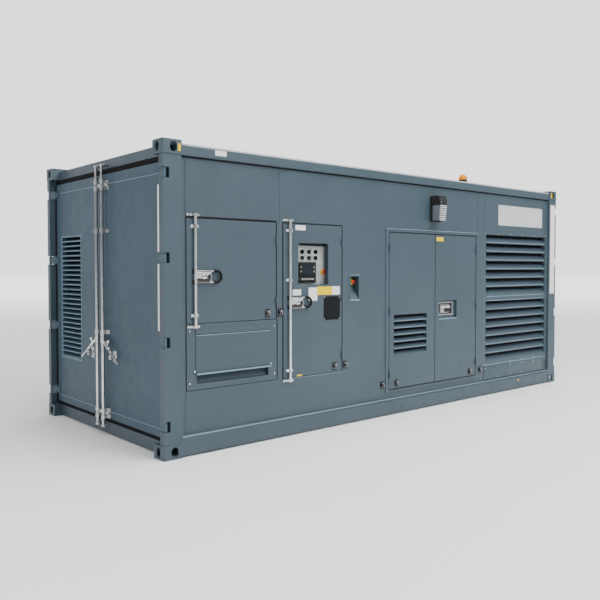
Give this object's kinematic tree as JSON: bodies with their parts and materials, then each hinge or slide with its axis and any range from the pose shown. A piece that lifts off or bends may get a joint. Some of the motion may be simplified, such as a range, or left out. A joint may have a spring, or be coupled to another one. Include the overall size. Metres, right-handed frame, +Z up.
{
  "type": "containerised diesel generator",
  "caption": "Blue-grey acoustic container for a diesel generating set, with hinged end doors, control and cable doors, service doors, inlet louvres, wall light and beacon.",
  "frame": {"origin": "on the ground at the middle of the rectangle of bottom lock slots", "axes": "+X along the container away from the near door end, +Y towards the rear long side, +Z up"},
  "size_m": [6.058, 2.549, 2.672],
  "materials": {
    "enclosure_paint": "satin blue-grey paint",
    "end_door_paint": "satin blue-grey paint",
    "galvanised_steel": "galvanised",
    "black_rubber": "matt",
    "black_plastic": "matt",
    "clear_pane": "clear",
    "amber_lens": "gloss",
    "yellow_plastic": "gloss",
    "red_plastic": "gloss",
    "cabinet_paint": "light grey paint",
    "floor_steel": "dark paint",
    "roof_paint": "pale grey paint"
  },
  "bodies": {
    "container": {"corner_castings": "enclosure_paint", "corner_posts": "enclosure_paint", "bottom_side_rails": "enclosure_paint", "top_side_rails": "enclosure_paint", "end_rails": "enclosure_paint", "cross_members": "floor_steel", "floor": "floor_steel", "roof": "enclosure_paint", "roof_sheet": "roof_paint", "front_wall_pillars": "enclosure_paint", "front_wall_panels": "enclosure_paint", "rear_wall_pillars": "enclosure_paint", "rear_wall_panels": "enclosure_paint", "front_louvre": "enclosure_paint", "rear_louvre": "enclosure_paint", "service_frame": "enclosure_paint", "rear_service_doors": "enclosure_paint", "rear_hinges": "enclosure_paint", "outlet_panel": "enclosure_paint", "cable_hood": "enclosure_paint", "stop_niche": "enclosure_paint", "stop_bases": "yellow_plastic", "stop_heads": "red_plastic", "control_cabinet": "cabinet_paint", "control_switchgear": "black_plastic", "light_housing": "black_plastic", "light_lens": "clear_pane", "beacon_base": "black_plastic", "beacon_dome": "amber_lens", "keepers": "galvanised_steel", "wall_hinges": "enclosure_paint", "wall_clips": "black_plastic", "door_seals": "black_rubber", "far_doors": "end_door_paint", "far_gaskets": "black_rubber", "far_fittings": "galvanised_steel", "far_lock_rods": "galvanised_steel"},
    "end_right_leaf": {"end_door_right": "end_door_paint", "end_right_gasket": "black_rubber", "end_right_fittings": "galvanised_steel"},
    "end_right_lock": {"end_right_rod": "galvanised_steel"},
    "end_left_leaf": {"end_door_left": "end_door_paint", "end_left_louvre": "end_door_paint", "end_left_gasket": "black_rubber", "end_left_fittings": "galvanised_steel"},
    "end_left_lock": {"end_left_rod": "galvanised_steel"},
    "cable_leaf": {"cable_door": "enclosure_paint", "cable_fittings": "galvanised_steel"},
    "cable_lock": {"cable_rod_gear": "galvanised_steel"},
    "control_leaf": {"control_door": "enclosure_paint", "control_window": "clear_pane", "control_fittings": "galvanised_steel"},
    "control_lock": {"control_rod_gear": "galvanised_steel"},
    "service_left_leaf": {"service_left": "enclosure_paint", "service_louvre": "enclosure_paint", "service_left_fittings": "enclosure_paint"},
    "service_right_leaf": {"service_right": "enclosure_paint", "handle_tray": "enclosure_paint", "tray_latch": "galvanised_steel", "service_right_fittings": "enclosure_paint"}
  },
  "joints": [
    {"name": "end_right_door", "type": "hinge", "parent": "container", "child": "end_right_leaf", "pos_m": [-3, -1.19, 1.2885], "axis": [0, 0, 1], "range_deg": [0, 255]},
    {"name": "end_right_lock_turn", "type": "hinge", "parent": "end_right_leaf", "child": "end_right_lock", "pos_m": [-3.002, -0.06, 1.2975], "axis": [0, 0, 1], "range_deg": [-95, 0]},
    {"name": "end_left_door", "type": "hinge", "parent": "container", "child": "end_left_leaf", "pos_m": [-3, 1.19, 1.2885], "axis": [0, 0, -1], "range_deg": [0, 255]},
    {"name": "end_left_lock_turn", "type": "hinge", "parent": "end_left_leaf", "child": "end_left_lock", "pos_m": [-3.002, 0.06, 1.2975], "axis": [0, 0, -1], "range_deg": [-95, 0]},
    {"name": "cable_door_swing", "type": "hinge", "parent": "container", "child": "cable_leaf", "pos_m": [-1.8475, -1.193, 1.53], "axis": [0, 0, 1], "range_deg": [0, 160]},
    {"name": "cable_lock_turn", "type": "hinge", "parent": "cable_leaf", "child": "cable_lock", "pos_m": [-2.717, -1.205, 1.53], "axis": [0, 0, 1], "range_deg": [-95, 0]},
    {"name": "control_door_swing", "type": "hinge", "parent": "container", "child": "control_leaf", "pos_m": [-1.0135, -1.193, 1.252], "axis": [0, 0, 1], "range_deg": [0, 160]},
    {"name": "control_lock_turn", "type": "hinge", "parent": "control_leaf", "child": "control_lock", "pos_m": [-1.695, -1.205, 1.252], "axis": [0, 0, 1], "range_deg": [-95, 0]},
    {"name": "service_left_swing", "type": "hinge", "parent": "container", "child": "service_left_leaf", "pos_m": [-0.3245, -1.203, 1.1], "axis": [0, 0, 1], "range_deg": [-160, 0]},
    {"name": "service_right_swing", "type": "hinge", "parent": "container", "child": "service_right_leaf", "pos_m": [1.2145, -1.203, 1.1], "axis": [0, 0, 1], "range_deg": [0, 160]}
  ]
}
